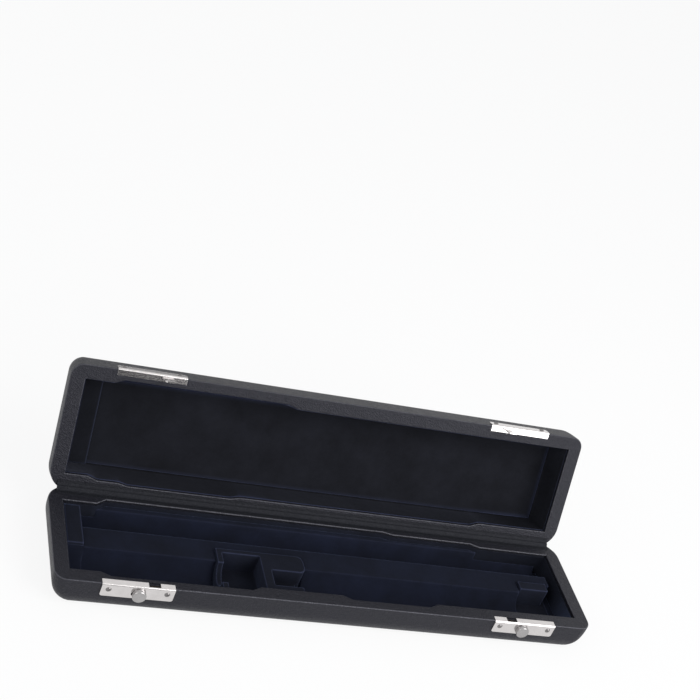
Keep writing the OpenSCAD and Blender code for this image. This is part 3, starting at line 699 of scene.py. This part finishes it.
bed = prism(opening(BASE_FRONT, BASE_REAR, LINING), BED_Z, SHELF, "velvet_bed")
cut(bed, [
    channel(LEDGE_X, SLOT_X + 1, BODY_Y, BODY_Z, BODY_R),
    box(RX - BACK_CUT, SLOT_X + 1, BODY_Y + BODY_R - BACK_LAP, FAR, BODY_Z, FAR),
    channel(LEDGE_X, SLOT_X + 1, BAY_Y, BAY_Z, BAY_R),
    channel(LX, LEDGE_X + 1, BAY_Y, REST + SADDLE_RISE, SADDLE_R),
    box(SLOT_X, RX, -FAR, FAR, BED_TOP_Z, FAR),
    box(REST_X0 - REST_GAP, REST_X1 + REST_GAP, -FAR, rest_y1 + REST_GAP, REST_FOOT, FAR),
    box(end_x0 - REST_GAP, SLOT_X + REST_GAP, -FAR, ridge_y1 + REST_GAP, REST_FOOT, FAR),
])
soften(bed, voxel=0.8, rounds=3, keep=0.35)
paint(bed, BED_VELVET)
lining_top = BASE_H - HALF_GAP - LINING_DROP
join(bed, wall_lining(BASE_FRONT, BASE_REAR, lining_top, CAVITY + 0.5), WALL_VELVET)
bed.data.shade_smooth()
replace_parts(bed, "base_bed")

# centre rest: a walled pocket with a trough through its end wall, a stem, a tongue and a seat
tongue_y, seat_y, tr = rest_y1 - TONGUE, rest_y1 - TONGUE - SEAT, TONGUE_R
tongue_x1 = REST_X1 - tr
stem0, stem1 = REST_MID - STEM / 2, REST_MID + STEM / 2
quarter = sweep(math.pi / 2, 8)
tongue = [(REST_MID, tongue_y)]
tongue += [(tongue_x1 + tr * math.sin(a), tongue_y + tr - tr * math.cos(a)) for a in quarter]
tongue += [(tongue_x1 + tr * math.cos(a), rest_y1 - tr + tr * math.sin(a)) for a in quarter]
tongue.append((REST_MID, rest_y1))
block = [(REST_X0, -FAR), (stem1, -FAR), (stem1, rest_y1), (REST_X0, rest_y1)]
rest = prism(block, BED_Z, REST, "centre_rest_velvet")
cut(rest, [prism(tongue, BED_Z, REST),
           box(REST_MID, tongue_x1, -FAR, seat_y, BED_Z, REST)], "UNION")
cut(rest, [box(REST_X0 + REST_WALL, stem0, -FAR, rest_y1 - REST_WALL, CAVITY, FAR),
           channel(REST_X0 - 1, REST_X0 + REST_WALL + 1, BAY_Y, REST, BODY_R)])
cut(rest, [
    box(REST_X0, REST_X1, -FAR, rest_y1, BED_Z, BED_TOP_Z),
    box(REST_MID, tongue_x1, seat_y - 1, tongue_y + 1, BED_Z, BED_TOP_Z + SEAT_RISE),
], "UNION")
cut(rest, [inside_base()], "INTERSECT")
soften(rest, voxel=0.5, rounds=3, keep=0.5)
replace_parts(paint(rest, VELVET), "centre_rest")

# right end rest: the floor of a pit, with a ridge at its back
end_rest = box(end_x0, SLOT_X, -FAR, ridge_y1, BED_Z, BED_TOP_Z, "end_rest_right_velvet")
cut(end_rest, [box(end_x0, end_x0 + RIDGE_L, ridge_y1 - RIDGE_W, ridge_y1, BED_Z, REST)], "UNION")
cut(end_rest, [inside_base()], "INTERSECT")
soften(end_rest, voxel=0.5, rounds=3, keep=0.5)
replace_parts(paint(end_rest, VELVET), "end_rest_right")

# left end rest: a ledge with a shallow saddle
ledge = box(LX, LEDGE_X, -FAR, FAR, SHELF - LEDGE_SINK, REST, "end_rest_left_velvet")
cut(ledge, [channel(LX, LEDGE_X + 1, BAY_Y, REST + SADDLE_RISE, SADDLE_R)])
cut(ledge, [inside_base()], "INTERSECT")
soften(ledge, voxel=0.45, rounds=3, keep=0.5)
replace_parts(paint(ledge, VELVET), "end_rest_left")

for ob in (bed, rest, end_rest, ledge):
    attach(ob, "base")

# ---- velvet lining of the lid ---------------------------------------------------------------

LEAN, LEAN_REAR, LID_FLOOR = 3.0, 0.5, LID_H - 22.4
BOW = 0.5  # the floor's long edges bow out by this
SEAM, PAD_RISE = 0.25, 0.35
CROWN, CROWN_RUN, CROWN_STEPS = 0.4, 16, (2.5, 5, 10, 16, 23, 30)
WALL_STEPS, CREASE_STEPS = 8, 5
PAD_L, PAD_T, PAD_GAP, PAD_SINK = 13.0, 3.0, 0.1, 0.3


def lid_lining():
    """Made flat face down like the cover: a wall that leans in, a crease, then a padded floor."""
    top = LID_H - HALF_GAP - LINING_DROP
    edge = opening(LID_FRONT, LID_REAR, 0)
    end = CASE_L / 2 - END_WALL
    lo, hi = LINING_OUT, LINING
    mid, r = (lo + hi) / 2, (hi - lo) / 2
    wall_top, crease = top - r, CAVITY + 0.15

    def foot(x, y, g):
        """Where the wall above a point of the edge meets the floor, set in by g."""
        k = end - g - LEAN
        fx = math.copysign(k, x) if abs(x) > end - 1 else max(-k, min(k, x))
        bow = BOW * (1 - (x / end) ** 2)
        if y < 0:
            return fx, FRONT + LID_FRONT_T + g + LEAN - bow
        return fx, PIN - LID_REAR_T - g - LEAN_REAR + bow

    def rim(g, z):
        return [(x, y, z) for x, y in opening(LID_FRONT, LID_REAR, g)]

    rings = [rim(lo, crease)]
    for a in sweep(math.pi, ROLL_STEPS):
        rings.append(rim(mid - r * math.cos(a), wall_top + r * math.sin(a)))
    for i in range(1, WALL_STEPS + 1):
        z = wall_top + (crease - wall_top) * (i / WALL_STEPS)
        k = min(1, (wall_top - z) / (wall_top - LID_FLOOR))
        wall = []
        for (x, y), (ex, ey, _) in zip(edge, rim(hi, 0)):
            fx, fy = foot(x, y, hi)
            wall.append((ex + (fx - ex) * k, ey + (fy - ey) * k, z))
        rings.append(wall)
    rise = LID_FLOOR + PAD_RISE - crease
    for a in sweep(math.pi / 2, CREASE_STEPS):
        g, z = SEAM + rise * (1 - math.cos(a)), crease + rise * math.sin(a)
        rings.append([(*foot(x, y, hi + g), z) for x, y in edge])
    mid_y = (FRONT + LID_FRONT_T + PIN - LID_REAR_T) / 2
    for d in CROWN_STEPS:
        crown = []
        for x, y in edge:
            fx, fy = foot(x, y, hi + SEAM + rise)
            sx = math.copysign(max(0, abs(fx) - d), fx)
            sy = mid_y + math.copysign(max(0.5, abs(fy - mid_y) - d), fy - mid_y)
            crown.append((sx, sy, LID_FLOOR + PAD_RISE + CROWN * min(1, d / CROWN_RUN)))
        rings.append(crown)
    return loft("lid_velvet", rings)


lining = lid_lining()
lining.data.shade_smooth()
to_lid(lining)
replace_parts(paint(lining, LID_VELVET), "lid_lining")

side = LINING + LEAN + PAD_GAP
pad = box(LX + END_WALL + side, LX + END_WALL + side + PAD_L, FRONT + LID_FRONT_T + side,
          PIN - LID_REAR_T - LINING - LEAN_REAR - PAD_GAP, LID_FLOOR - PAD_SINK,
          LID_FLOOR + PAD_T, "lid_end_pad_velvet")
soften(pad, voxel=0.45, rounds=4, keep=0.5)
to_lid(pad)
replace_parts(paint(pad, PAD_VELVET), "lid_end_pad")

for ob in (lining, pad):
    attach(ob, "lid")

# ---- floor, world and lamps, in metres but for the floor's mesh -----------------------------

FLOOR_HALF, FLOOR_LIFT = 4000, 0.88
FLOOR_SEEN = 1.26  # metal looks past the floor behind this y, onto the rear flag
# directions of two small black flags, which the two faces of the lid's left plate reflect
FLAGS, FLAG_COS, FLAG_SOFT = ((0.17, -0.983, 0.072), (0.17, 0.983, -0.080)), 0.977, 0.005
WHITE, BLACK = (1, 1, 1), (0.03, 0.03, 0.035)
# where a lamp is, where it points, its two sides and its watts
LAMPS = {
    "key": ((0.9, -0.9, 1.3), (0, 0, 0), (1.2, 0.9), 13),
    "front": ((1.0, -1.5, 0.6), (0.1, 0, 0.05), (1.1, 0.8), 12),
    "fill": ((-1.2, -0.6, 0.9), (0, 0, 0.02), (1.0, 0.8), 4),
}


def ray(nt, name):
    return node(nt, "LightPath", {}).outputs[name]


def seen_directly(nt):
    """1 for camera rays and for what metal and glass show, else 0."""
    shown = calc(nt, "MAXIMUM", ray(nt, "Is Glossy Ray"), ray(nt, "Is Transmission Ray"))
    return calc(nt, "MAXIMUM", ray(nt, "Is Camera Ray"), shown)


def toward(nt, direction):
    """Cosine between a ray of the world and a direction."""
    unit = Vector(direction).normalized()
    n = node(nt, "VectorMath", {0: coords(nt, "Generated"), 1: unit}, operation="DOT_PRODUCT")
    return n.outputs["Value"]


corners = [(-1, -1), (1, -1), (1, 1), (-1, 1)]
floor = make("floor", [(x * FLOOR_HALF, y * FLOOR_HALF, 0) for x, y in corners], [(0, 1, 2, 3)])
floor_mat, nt, bsdf = material("floor")
feed(nt, bsdf, {"Base Color": (0.95, 0.95, 0.95, 1), "Roughness": 0.9, "Specular IOR Level": 0.0})
lifted = blend_shaders(nt, calc(nt, "MULTIPLY", seen_directly(nt), FLOOR_LIFT), bsdf.outputs[0],
                       node(nt, "Emission", {}).outputs[0])
place = node(nt, "SeparateXYZ", {0: coords(nt)})
past = calc(nt, "MULTIPLY", calc(nt, "GREATER_THAN", place.outputs["Y"], FLOOR_SEEN),
            ray(nt, "Is Glossy Ray"))
clear = node(nt, "BsdfTransparent", {}).outputs[0]
feed(nt, nt.nodes["Material Output"], {"Surface": blend_shaders(nt, past, lifted, clear)})
paint(floor, floor_mat)

world = bpy.data.worlds.new("world")
bpy.context.scene.world = world
world.use_nodes = True
nt = world.node_tree
soft = feed(nt, nt.nodes["Background"], {"Color": (0.95, 0.97, 1.0, 1), "Strength": 0.55})
near_flag = calc(nt, "MAXIMUM", *(toward(nt, flag) for flag in FLAGS))
near_flag = calc(nt, "SUBTRACT", near_flag, ray(nt, "Is Camera Ray"))
flagged = ramp(nt, near_flag, WHITE, BLACK, FLAG_COS - FLAG_SOFT, FLAG_COS)
white = node(nt, "Background", {"Color": flagged, "Strength": 1.0})
sky = blend_shaders(nt, seen_directly(nt), soft.outputs[0], white.outputs[0])
feed(nt, nt.nodes["World Output"], {"Surface": sky})

for name, (at, to, size, watts) in LAMPS.items():
    data = bpy.data.lights.new(name, "AREA")
    data.shape, data.size, data.size_y = "RECTANGLE", size[0], size[1]
    data.energy = watts
    ob = bpy.data.objects.new(name, data)
    ob.location = at
    ob.rotation_mode = "QUATERNION"
    ob.rotation_quaternion = (Vector(to) - Vector(at)).to_track_quat("-Z", "Y")
    bpy.context.scene.collection.objects.link(ob)
